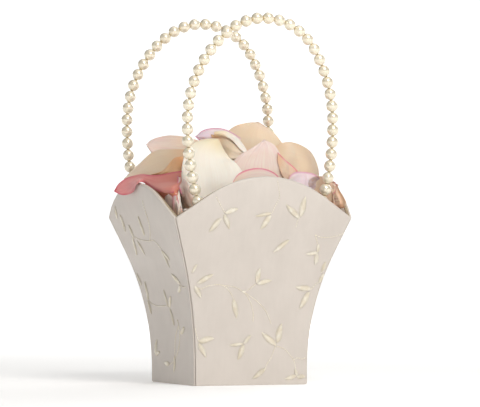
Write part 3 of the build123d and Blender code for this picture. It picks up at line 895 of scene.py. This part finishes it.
class Heap:
    """The heap's surface as a radius in each direction from its centre. Petals are laid on it one by one."""

    def __init__(self):
        self.steps = (181, 361)
        lean = np.linspace(0, pi, self.steps[0])[:, None]
        turn = np.linspace(-pi, pi, self.steps[1])[None, :]
        x, y = np.abs(np.sin(lean) * np.cos(turn)), np.abs(np.sin(lean) * np.sin(turn))
        height = np.where(np.cos(lean) > 0, HEAP_TOP, HEAP_BOTTOM)
        plan = ((x / HEAP_HALF[0]) ** 3.5 + (y / HEAP_HALF[1]) ** 3.5) ** (1 / 3.5)
        self.radius = (plan**2.1 + (np.abs(np.cos(lean)) / height) ** 2.1) ** (-1 / 2.1)

    def place(self, points):
        offset = points - HEAP_CENTRE
        radius = np.linalg.norm(offset, axis=-1)
        lean = np.arccos(np.clip(offset[..., 2] / radius, -1, 1)) / pi * (self.steps[0] - 1)
        turn = (np.arctan2(offset[..., 1], offset[..., 0]) + pi) / (2 * pi) * (self.steps[1] - 1)
        return offset / radius[..., None], radius, np.round(lean).astype(int), np.round(turn).astype(int)

    def drape(self, points, hug=0.0):
        """The grid of points, raised onto the heap's surface where under it, and drawn towards it by hug."""
        direction, radius, lean, turn = self.place(points)
        lift = np.maximum(self.radius[lean, turn] + PETAL_GAP - radius, 0)
        sink = hug * blurred(np.maximum(radius - self.radius[lean, turn] - PETAL_GAP, 0), 3)
        return points + direction * (blurred(dilated(lift, 2), 3) - sink)[..., None]

    def cover(self, points):
        """Raises the heap's surface to a petal that lies on it."""
        _, radius, lean, turn = self.place(refined(points, 1).reshape(-1, 3))
        np.maximum.at(self.radius, (lean, turn), radius)
        self.radius[:, 0] = self.radius[:, -1] = np.maximum(self.radius[:, 0], self.radius[:, -1])


class Side:
    """One side of the heap, as how far it comes towards the viewer of that side at each place and height."""

    def __init__(self, flip):
        self.axes = np.array([flip * RIGHT, flip * TOWARD, UP])
        self.depth = np.full((201, 131), -200.0)

    def cell(self, across, height):
        column = np.clip(np.round(across + 100), 0, 200).astype(int)
        return column, np.clip(np.round(height - 70), 0, 130).astype(int)

    def drape(self, across, toward, height):
        lift = np.maximum(self.depth[self.cell(across, height)] + PETAL_GAP - toward, 0)
        toward = toward + blurred(dilated(lift, 2), 4)
        return np.maximum(toward, self.depth[self.cell(across, height)] + PETAL_GAP)

    def cover(self, points):
        across, toward, height = np.moveaxis(refined(points, 2) @ self.axes.T, -1, 0)
        i, j = self.cell(across, height)
        np.maximum.at(self.depth, (i, j), toward)


def keep_in_room(points):
    """Keeps petals inside the walls, between the two handles, and out of the way of the handles' legs."""
    x, y, z = np.moveaxis(points, -1, 0)
    distance, lean = wall(z)
    inner = distance - WALL_ROOM * np.cos(lean)
    in_corner = (np.abs(x) > HANDLE_PLANE) & (z < OPEN_HEIGHT)
    reach_x = np.where(z < rim_height(y, "left") + 0.6, inner, 90.0)
    x = np.clip(x, -reach_x, reach_x)
    leg_limit = HANDLE_PLANE - LEG_ROOM - np.maximum(z - PIVOT_HEIGHT, 0) * tan(HANDLE_TILT_IN)
    beside_leg = smoothstep(np.abs(x), LEG_REACH_X - 5, LEG_REACH_X)
    reach_y = np.minimum(REACH_Y + beside_leg * (np.clip(leg_limit, 20, REACH_Y) - REACH_Y), inner)
    reach_y = np.where(in_corner, inner, reach_y)
    return np.stack([x, np.clip(y, -reach_y, reach_y), z], -1)


def over_left_rim(points):
    """Brings what is drawn below the left wall's rim out in front of its satin."""
    across, toward, height = np.moveaxis(points @ VIEW_AXES.T, -1, 0)
    face_x = -wall(height)[0] - 1.0
    face_y = (RIGHT[0] * face_x - across) / -RIGHT[1]
    face_toward = TOWARD[0] * face_x + TOWARD[1] * face_y
    below = (height < rim_height(face_y, "left") + 1.0) & (across < -50) & (np.abs(face_y) < 55)
    push = np.where(below, np.maximum(face_toward - toward, 0), 0)
    toward = np.maximum(toward + blurred(dilated(push, 2), 3), np.where(below, face_toward, -200))
    moved = np.stack([across, toward, height], -1) @ VIEW_AXES
    inside = smoothstep(across, -58.0, -48.0)[..., None]
    return moved * (1 - inside) + keep_in_room(moved) * inside


def petal_grid(length, width, cup, bend, curl, ruffle, seed, fold):
    """A petal lying in the XY plane, foot at -Y, tip at +Y, its upper face to +Z, in millimetres.

    cup lowers its sides, bend turns its length downwards in all, curl rolls its rim up, ruffle waves it and
    fold creases it down the middle.
    """
    v = np.sin(np.linspace(0, pi / 2, 33))[:, None] ** 1.15
    s = np.sin(np.linspace(-pi / 2, pi / 2, 31))[None, :]
    random = np.random.default_rng(seed)
    wide = (0.16 * (1 - v) + v**0.75) * np.sqrt(np.maximum(1 - v**4.5, 0)) / 0.86
    x = 0.5 * width * wide * (s + random.uniform(-0.08, 0.08) * v * (1 - s**2))
    notch = 1 - 0.06 * np.exp(-((s / 0.25) ** 2)) - 0.1 * random.uniform(0, 1) * s * v
    y = length * v * np.where(v > 0.5, 1 + (notch - 1) * (v - 0.5) * 2, 1.0)
    to_side = 0.5 * width * wide * (1 - np.abs(s))
    rim = np.minimum(to_side * 1.1, length * (1 - v) * (1 - 0.35 * s**2))
    near_rim = np.exp(-rim / (0.14 * width)) * smoothstep(v, 0.12, 0.5)
    phase = random.uniform(0, 2 * pi, 3)
    around = s * (0.35 + 0.65 * v)
    wave = (np.sin(2.3 * pi * around + phase[0]) + 0.6 * np.sin(4.1 * pi * around + phase[1])
            + 0.3 * np.sin(6.3 * pi * around + phase[2]))
    z = -cup * width * 0.25 * (x / (0.5 * width)) ** 2
    z = z + curl * width * 0.22 * near_rim**1.3 + ruffle * width * 0.07 * wave * near_rim
    z = z - fold * width * 0.12 * np.exp(-((x / (0.1 * width)) ** 2)) * smoothstep(v, 0.0, 0.4)
    z = z + 0.016 * width * waves(x, y, seed + 1, 0.4 * width)
    z = z + (0.3 * np.sin(12 * s + phase[0]) + 0.16 * np.sin(23 * s + phase[1])) * v
    angle = bend * (y / length - 0.5)
    radius = length / bend if abs(bend) > 0.02 else 1e5
    y, z = (radius + z) * np.sin(angle), (radius + z) * np.cos(angle) - radius
    return np.stack(np.broadcast_arrays(x, y, z), -1), v + 0 * s, s * (0.3 + 0.7 * wide), rim


class Petals:
    """Lays petals on the heap and makes each one an object."""

    def __init__(self):
        self.heap = Heap()
        self.front, self.back = Side(1), Side(-1)
        self.serial = 0

    def make(self, name, look, points, along, across, rim, replaced):
        for surface in (self.heap, self.front, self.back):
            surface.cover(points)
        shape = points.shape[:2]
        facts = {"along": along, "across": across, "rim": rim, "serial": self.serial * 3.7}
        attributes = {key: np.broadcast_to(value, shape).ravel() for key, value in facts.items()}
        obj = mesh_object(name, points.reshape(-1, 3), grid_faces(*shape), attributes)
        thicken(obj, PETAL_THICKNESS)
        dress(obj, PETAL_LOOKS[look], "petals", PETAL_SLOTS.get(look, look), *replaced)

    def lay(self, name, look, centre, tip, face, length, width, cup=0.3, bend=0.5, curl=0.2, ruffle=0.5,
            fold=0.0, hug=0.0, tinted=1, replaced=()):
        """Lays a petal with its middle at centre, its tip and its upper face towards the directions given."""
        self.serial += 1
        local, *facts = petal_grid(length, width, cup, bend, curl, ruffle, 100 + self.serial, fold)
        tip = tip / np.linalg.norm(tip)
        face = face - tip * face.dot(tip)
        face /= np.linalg.norm(face)
        points = local @ np.stack([np.cross(tip, face), tip, face]) + centre
        points = keep_in_room(self.heap.drape(points, hug))
        for _ in range(3):
            points = keep_in_room(self.heap.drape(points))
        along, across, rim = facts
        self.make(name, look, points, along, across, rim + 50 * (1 - tinted), replaced)

    def draw(self, name, look, one_side, other_side, depth, lean=-0.6, slant=0.0, bulge=5.0, curl=0.0,
             ruffle=0.8, tinted=(1, 1), side="front", over_rim=False, replaced=()):
        """Lays a petal that shows a given outline to the viewer of one side of the heap.

        Its two sides run from foot to tip, as places across and heights. depth is how far its middle comes
        towards the viewer, and lean and slant are how that changes with height and across. tinted says which
        of its two sides has the coloured edge.
        """
        self.serial += 1
        view = getattr(self, side)
        seed = 300 + self.serial
        rows, columns = 41, 33
        a, b = smooth_curve(one_side, rows), smooth_curve(other_side, rows)
        v = np.linspace(0, 1, rows)[:, None]
        s = np.sin(np.linspace(-pi / 2, pi / 2, columns))[None, :]
        share = (s[..., None] + 1) / 2
        place = a[:, None] * (1 - share) + b[:, None] * share
        across, height = place[..., 0], place[..., 1]
        wide = np.linalg.norm(a - b, axis=1)[:, None]
        size = np.linalg.norm(a[0] - a[-1])
        edge_one, edge_other = wide * share[..., 0], wide * (1 - share[..., 0])
        edge_tip = size * (1 - v) + 0 * s
        rim = np.minimum(np.minimum(edge_one, edge_other), edge_tip)
        random = np.random.default_rng(seed)
        phase = random.uniform(0, 2 * pi, 4)
        near_rim = np.exp(-rim / 5.0)
        wave = np.sin(9 * v + 2 * s + phase[0]) + 0.6 * np.sin(17 * v - 3 * s + phase[1])
        veins = np.sin(5.5 * s + 1.5 * v + phase[2]) + 0.3 * np.sin(13 * s + phase[3]) + 0.18 * np.sin(23 * s)
        veins = veins * v
        toward = depth + lean * (height - place[..., 1].mean()) + slant * (across - across.mean())
        toward = toward + bulge * (1 - s**2) * np.sin(pi * np.clip(0.1 + 0.85 * v, 0, 1))
        toward = toward + curl * near_rim + ruffle * (wave * near_rim + 0.6 * veins)
        toward = toward + 0.5 * waves(across, height, seed + 1, 17.0)
        toward = view.drape(across, toward, height)
        points = np.stack([across, toward, height], -1) @ view.axes
        points = over_left_rim(points) if over_rim else keep_in_room(points)
        tint = np.minimum(np.where(tinted[0], edge_one, 50.0), np.where(tinted[1], edge_other, 50.0))
        tint = np.minimum(tint, edge_tip + 3 * (1 - sum(tinted) / 2))
        self.make(name, look, points, v + 0 * s, s + 0 * v, tint, replaced)


def scattered(petals):
    """Petals all round the heap, from the underside up."""
    random = np.random.default_rng(2024)
    looks = ["petal_cream", "petal_peach", "petal_blush", "petal_peach", "petal_cream", "petal_coral",
             "petal_cream", "petal_lilac", "petal_blush"]
    rings = [(180, 1), (150, 5), (122, 8), (102, 11), (84, 11), (66, 10), (48, 8), (30, 6), (12, 3)]
    k = 0
    for lean, count in rings:
        for i in range(count):
            turn = 2 * pi * (i + random.uniform(-0.25, 0.25)) / count + 0.4 * lean
            tilt = radians(lean + random.uniform(-7, 7))
            direction = np.array([sin(tilt) * cos(turn), sin(tilt) * sin(turn), cos(tilt)])
            _, _, row, column = petals.heap.place(HEAP_CENTRE + direction)
            centre = HEAP_CENTRE + direction * (petals.heap.radius[row, column] + 1.0)
            helper = np.array([0.0, 0.0, 1.0]) if abs(direction[2]) < 0.9 else np.array([1.0, 0.0, 0.0])
            beside = np.cross(direction, helper)
            beside /= np.linalg.norm(beside)
            spin = random.uniform(0, 2 * pi)
            tip = beside * cos(spin) + np.cross(direction, beside) * sin(spin)
            out = tip + 0.15 * direction * random.uniform(0.0, 1.0)
            size = random.uniform(36, 48)
            look = looks[int(random.integers(len(looks)))]
            petals.lay(f"petal_fill_{k:02d}", look, centre, out, direction, size,
                       size * random.uniform(0.85, 1.05), cup=0.4, bend=0.8,
                       curl=random.uniform(0.0, 0.3), ruffle=random.uniform(0.4, 0.9),
                       fold=random.uniform(0, 0.5), hug=0.45, tinted=int(random.uniform() < 0.35),
                       replaced=("petal_bed",) if k == 0 else ())
            k += 1
    walls = [(-1, 0), (1, 0), (0, 1)]
    for side_x, side_y in walls:
        for offset in (-38, -13, 13, 38)[0 if side_y else 1:]:
            away = np.array([side_x, side_y, 0.0])
            centre = np.array([side_x * 55.0 + side_y * offset, side_y * 49.0 + side_x * offset, 115.0])
            tip = np.array([0.0, 0.0, 1.0]) + random.uniform(-0.5, 0.5) * np.array([side_y, side_x, 0.0])
            look = looks[int(random.integers(len(looks)))]
            petals.lay(f"petal_edge_{k:02d}", look, centre, tip, np.array([0.0, 0.0, 0.5]) - away, 34, 36,
                       cup=0.2, bend=0.4, curl=0.2, ruffle=0.8, tinted=int(random.uniform() < 0.5))
            k += 1


def corner_petals(petals):
    """Petals that stand against the right wall's lining, in the corner beside the front handle's foot."""
    petals.lay("petal_right_wall", "petal_peach", np.array([59.5, -40.0, 116.0]), np.array([0.0, -0.35, 1.0]),
               np.array([-1.0, 0.1, 0.0]), 34, 30, cup=0.1, bend=0.2, curl=0.1, ruffle=0.5)


def front_petals(petals):
    """The petals that show above the rim from the front, from the back of the heap to its front."""
    draw = petals.draw
    draw("petal_back_left", "petal_blush",
         [(-18, 164), (-32, 167.6), (-43, 168), (-52, 165.5), (-56, 162)],
         [(-18, 150), (-32, 148), (-43, 150), (-51, 155), (-56, 162)], 2, lean=-0.9, bulge=3,
         tinted=(0, 0), replaced=("petal_blush_back_left",))
    draw("petal_top", "petal_peach",
         [(14, 146), (3, 158), (-3, 167), (3, 174), (12, 176.8), (20, 177.2)],
         [(28, 142), (38, 148), (38, 158), (34.5, 165.5), (28.5, 172), (20, 177.2)], 10, lean=-0.6, bulge=5,
         tinted=(0, 0), replaced=("petal_peach_top",))
    draw("petal_big_right", "petal_peach",
         [(26, 146), (31, 160), (42, 163.8), (54.5, 158.5), (60, 149), (61, 141)],
         [(26, 136), (34, 130), (42, 126), (50, 126), (58, 130), (61, 141)],
         12, lean=-0.6, slant=-0.4, bulge=4,
         tinted=(0, 0), replaced=("petal_peach_right",))
    draw("petal_curled", "petal_lilac",
         [(8, 166), (-1, 171.6), (-9, 173), (-17, 171.6), (-22.6, 167.4)],
         [(8, 156), (-2, 158), (-9, 161), (-17, 163), (-22.6, 167.4)], 15, lean=-0.5, bulge=4, curl=-2,
         replaced=("petal_curl_middle",))
    draw("petal_under_roll", "petal_peach",
         [(-12, 168.5), (-4, 168.8), (3, 165.6), (8.5, 160), (13, 155)],
         [(-12, 168.5), (-9, 160), (-4, 154), (4, 152), (13, 155)], 22, lean=-0.6, bulge=-2, tinted=(0, 0))
    draw("petal_roll", "petal_cream",
         [(-10, 170.4), (-3, 171), (4.5, 167.6), (10, 161.6), (13.5, 155)],
         [(-10, 168), (-3, 167.4), (2.5, 164.2), (7.2, 158.8), (12, 154.6)], 25, lean=-0.5, bulge=2.5,
         tinted=(0, 0), ruffle=0.3)
    draw("petal_flop_left", "petal_peach",
         [(-20, 158), (-36, 158.4), (-50, 157.4), (-59.5, 150), (-71, 138.8)],
         [(-20, 136), (-31, 139), (-41, 138), (-52, 134), (-60, 137), (-71, 138.8)],
         18, lean=-0.9, slant=0.85,
         bulge=4, ruffle=1.2, tinted=(0, 0), over_rim=True, replaced=("petal_coral_left",))
    # This fold takes the darker copy of the peach look, which is painted shade. Its darkest part, the foot,
    # is at its right end.
    draw("petal_peach_fold", "petal_peach_shaded",
         [(-31, 153.5), (-36.4, 152.5), (-40.8, 147.8), (-45, 143.6), (-52, 141.4)],
         [(-29, 143), (-35, 142.6), (-40, 141.6), (-45, 141), (-52, 141.2)],
         32, lean=-0.6, slant=0.6, bulge=1,
         tinted=(0, 0), replaced=("petal_peach_left",))
    draw("petal_orange_left", "petal_coral",
         [(-61, 134), (-54, 128), (-44, 118), (-40, 112)],
         [(-33, 141), (-33, 130), (-36, 118), (-40, 112)],
         36, lean=-0.5, slant=0.95, bulge=1.5, tinted=(0, 0))
    draw("petal_flop_edge", "petal_rose",
         [(-30.5, 143.8), (-38, 142.8), (-46, 141.2), (-53, 141), (-58.3, 141.6), (-63, 140.8), (-69, 139),
          (-74.5, 135.2), (-77.4, 130.6)],
         [(-31, 129.4), (-40.8, 129.2), (-48.3, 130.8), (-54.3, 134.6), (-58.6, 136.6), (-62, 134.4),
          (-64.6, 129.4), (-71.5, 127.6), (-77.4, 130.2)], 32, lean=-0.5, slant=1.1, bulge=1.0, ruffle=0.8,
         tinted=(1, 1), over_rim=True)
    draw("petal_blush_peak", "petal_blush",
         [(14, 120), (2, 132), (0, 145), (6, 153.4), (14, 158.5), (24, 165)],
         [(28, 120), (37, 132), (38, 145), (34.8, 155), (30.6, 161.6), (24, 165)],
         33, lean=-0.45, slant=-0.35,
         bulge=4, tinted=(0, 0), replaced=("petal_blush_right",))
    draw("petal_red_edged", "petal_tan",
         [(33, 156.6), (37.6, 152), (42.6, 147.8), (46.5, 144)],
         [(33, 150), (35, 143), (39, 138), (46, 140)],
         28, lean=-0.5, slant=-0.4, bulge=1, tinted=(1, 0), ruffle=0.4,
         replaced=("petal_coral_right",))
    draw("petal_lilac_front", "petal_lilac",
         [(38, 132), (41, 140), (46, 143.4), (56.7, 142.4), (62, 139)],
         [(38, 124), (44, 122), (50, 122), (57, 126), (62, 139)], 28, lean=-0.3, slant=-0.4, bulge=2,
         replaced=("petal_lilac_right",))
    draw("petal_big_cream", "petal_cream",
         [(-7, 165.4), (-17, 165), (-25.4, 160.4), (-30.6, 150), (-31, 138), (-28, 124), (-20, 114)],
         [(-7, 165.4), (-4, 159), (0, 153), (6, 147.5), (10, 140), (8, 128), (-6, 114)], 40, lean=-0.4,
         slant=-0.3, bulge=5, tinted=(0, 0), replaced=("petal_cream_front",))
    draw("petal_pink_rim", "petal_blush",
         [(1, 130), (3.6, 138), (8, 142.8), (16.7, 145.6), (25.4, 145), (33, 140.6), (36, 132)],
         [(1, 128), (6, 122), (14, 119), (20, 119), (27, 120), (32, 123), (36, 132)],
         43, lean=-0.2, slant=-0.4, bulge=1,
         tinted=(1, 0), ruffle=0.4, replaced=("petal_pink_edged_front",))
    draw("petal_white_left", "petal_blush",
         [(-27, 113), (-28.3, 118.5), (-30.5, 124.8), (-32.4, 131.2), (-33.9, 136), (-34, 140)],
         [(-20, 113), (-21, 119), (-23.5, 126), (-25.5, 132), (-29, 138), (-34, 140)], 50, lean=-0.4, bulge=2,
         tinted=(1, 0), replaced=("petal_blush_front",))
    draw("petal_corner_left_outer", "petal_blush",
         [(-38.1, 116.2), (-40.8, 119.4), (-42.4, 123.2), (-42.4, 126.5), (-39.9, 128.2)],
         [(-37.3, 115.1), (-37.5, 120.5), (-37.3, 125.9), (-38.4, 127.4), (-39.9, 128.2)],
         55, lean=-0.3, bulge=0.6,
         replaced=("petal_corner_left",))
    draw("petal_corner_left_inner", "petal_blush",
         [(-37.3, 113.1), (-36.9, 116.2), (-36.9, 121.6), (-37, 126.5), (-34.4, 127.4)],
         [(-29.9, 115.6), (-30.8, 118.3), (-32.1, 122.7), (-33.7, 126.5), (-34.4, 127.4)],
         58, lean=-0.3, bulge=1)
    draw("petal_corner_right_front", "petal_tan",
         [(56, 114), (54, 127), (54.6, 137.8), (61.6, 140.5), (67, 138.6), (71.9, 136.2)],
         [(66, 112), (70, 116), (73.5, 122.7), (71.6, 128.1), (73.4, 132), (71.9, 136.2)],
         20, lean=-0.3, slant=-0.25,
         bulge=1.0, tinted=(0, 1), replaced=("petal_corner_right",))
    draw("petal_corner_right_back", "petal_tan",
         [(70, 118), (71, 126), (73, 134.6)],
         [(80, 119.4), (79, 122.7), (73, 134.6)], 25, lean=-0.1, slant=2.49, bulge=0.6, tinted=(0, 0))


def back_petals(petals):
    """A few large petals over the back of the heap, lower than the front ones."""
    draw = petals.draw
    draw("petal_back_peach", "petal_peach",
         [(6, 122), (-6, 132), (-8, 146), (-2, 157), (10, 163)],
         [(24, 122), (34, 132), (34, 145), (26, 158), (10, 163)], 30, side="back", lean=-0.6, tinted=(0, 0),
         replaced=("petal_cream_back",))
    draw("petal_back_cream", "petal_cream",
         [(34, 122), (26, 134), (27, 146), (36, 152), (44, 152)],
         [(50, 120), (57, 130), (56, 140), (52, 148), (44, 152)], 16, side="back", lean=-0.5, slant=-0.4,
         replaced=("petal_blush_back",))
    draw("petal_back_blush", "petal_blush",
         [(-14, 126), (-20, 142), (-30, 152), (-42, 154), (-52, 146)],
         [(-20, 116), (-32, 118), (-42, 124), (-50, 132), (-52, 146)], 30, side="back", lean=-0.5, slant=-0.3,
         replaced=("petal_cream_back_right",))
    draw("petal_back_coral", "petal_coral",
         [(20, 116), (10, 126), (8, 138), (14, 146)],
         [(34, 118), (36, 128), (30, 140), (14, 146)], 37, side="back", lean=-0.3, slant=-0.4,
         replaced=("petal_corner_back_left", "petal_corner_back_right"))


def low_petals(petals):
    """Petals that lie low between the heap and the walls, all the way round."""
    random = np.random.default_rng(77)
    looks = ["petal_blush", "petal_cream", "petal_peach", "petal_lilac"]
    count = 20
    for k in range(count):
        turn = 2 * pi * (k + random.uniform(-0.2, 0.2)) / count
        outward = np.array([cos(turn), sin(turn), 0.0])
        square = max(abs(outward[0]), abs(outward[1])) ** 0.8
        centre = outward * 48.0 / square + np.array([0.0, 0.0, 106.0 + random.uniform(-2, 2)])
        tip = np.cross([0.0, 0.0, 1.0], outward) + random.uniform(-0.4, 0.4) * outward
        size = random.uniform(32, 38)
        petals.lay(f"petal_low_{k:02d}", looks[k % len(looks)], centre, tip, UP - 0.25 * outward, size, size,
                   cup=0.2, bend=0.3, curl=0.15, ruffle=0.7, tinted=int(random.uniform() < 0.6))


bpy.context.scene.view_settings.view_transform = "Standard"

for side in SIDES:
    satin_cover(side)
    wadding(side)
    lining(side)
    embroidery(side)
    paint(f"{side}_board", BOARD)
paint("base_card", BOARD)
base()
for side in ("front", "back"):
    pearls(side)
    for end in ("left", "right"):
        tab(side, end)

all_petals = Petals()
scattered(all_petals)
corner_petals(all_petals)
front_petals(all_petals)
back_petals(all_petals)
low_petals(all_petals)


# ---- Stage ----------------------------------------------------------------------------------------
def stage():
    """A pale floor that curves up behind, seen from the front and from every other side."""
    radius = 9.0
    share = np.linspace(0, 1, 60)
    r = np.concatenate([[0.0], 0.4 + share * (radius - 0.4), radius + 1.5 * np.sin(share[1:] * pi / 2)])
    z = np.concatenate([[0.0], 0 * share, 1.5 * (1 - np.cos(share[1:] * pi / 2))])
    turn = np.linspace(0, 2 * pi, 96, endpoint=False)
    points = np.stack([r[:, None] * np.cos(turn), r[:, None] * np.sin(turn), z[:, None] + 0 * turn], -1) / MM
    floor = mesh_object("floor", points.reshape(-1, 3), grid_faces(len(r), len(turn), close_columns=True))
    floor.data.materials.append(floor_material())


LIGHT_AIM = Vector((0.0, 0.0, 0.13))


def softbox(name, place, size, power, colour):
    light = bpy.data.lights.new(name, "AREA")
    light.shape = "RECTANGLE"
    light.size, light.size_y = size
    light.energy = power
    light.color = colour
    obj = bpy.data.objects.new(name, light)
    obj.location = place
    obj.rotation_euler = (LIGHT_AIM - Vector(place)).to_track_quat("-Z", "Y").to_euler()
    bpy.context.scene.collection.objects.link(obj)


def view_place(right, toward, up):
    """A place given in metres along the camera's view: to the right, towards the viewer and up."""
    return tuple(right * RIGHT + toward * TOWARD + up * UP)


def lights():
    world = bpy.data.worlds.new("studio")
    world.use_nodes = True
    world.node_tree.nodes["Background"].inputs["Color"].default_value = (1.0, 0.99, 0.97, 1.0)
    world.node_tree.nodes["Background"].inputs["Strength"].default_value = 0.15
    bpy.context.scene.world = world
    softbox("key", view_place(0.45, 1.1, 1.1), (0.5, 0.5), 10.5, (1.0, 0.98, 0.95))
    softbox("broad", view_place(0.3, 0.8, 1.4), (1.0, 0.8), 4.6, (1.0, 0.985, 0.96))
    softbox("top", view_place(0.1, -0.2, 1.5), (1.2, 1.2), 4.2, (1.0, 0.985, 0.96))
    softbox("behind", view_place(0.5, -1.3, 0.7), (0.9, 0.8), 7.0, (1.0, 0.99, 0.97))


def camera():
    data = bpy.data.cameras.new("camera")
    data.lens = LENS
    data.sensor_width = 36.0
    data.sensor_fit = "HORIZONTAL"
    obj = bpy.data.objects.new("camera", data)
    place = (RIGHT * VIEW_SIDESTEP + TOWARD * VIEW_DISTANCE + UP * VIEW_HEIGHT) * MM
    turn = Matrix([RIGHT, UP, TOWARD]).transposed().to_4x4()
    obj.matrix_world = Matrix.Translation(Vector(place)) @ turn
    bpy.context.scene.collection.objects.link(obj)
    bpy.context.scene.camera = obj


stage()
lights()
camera()
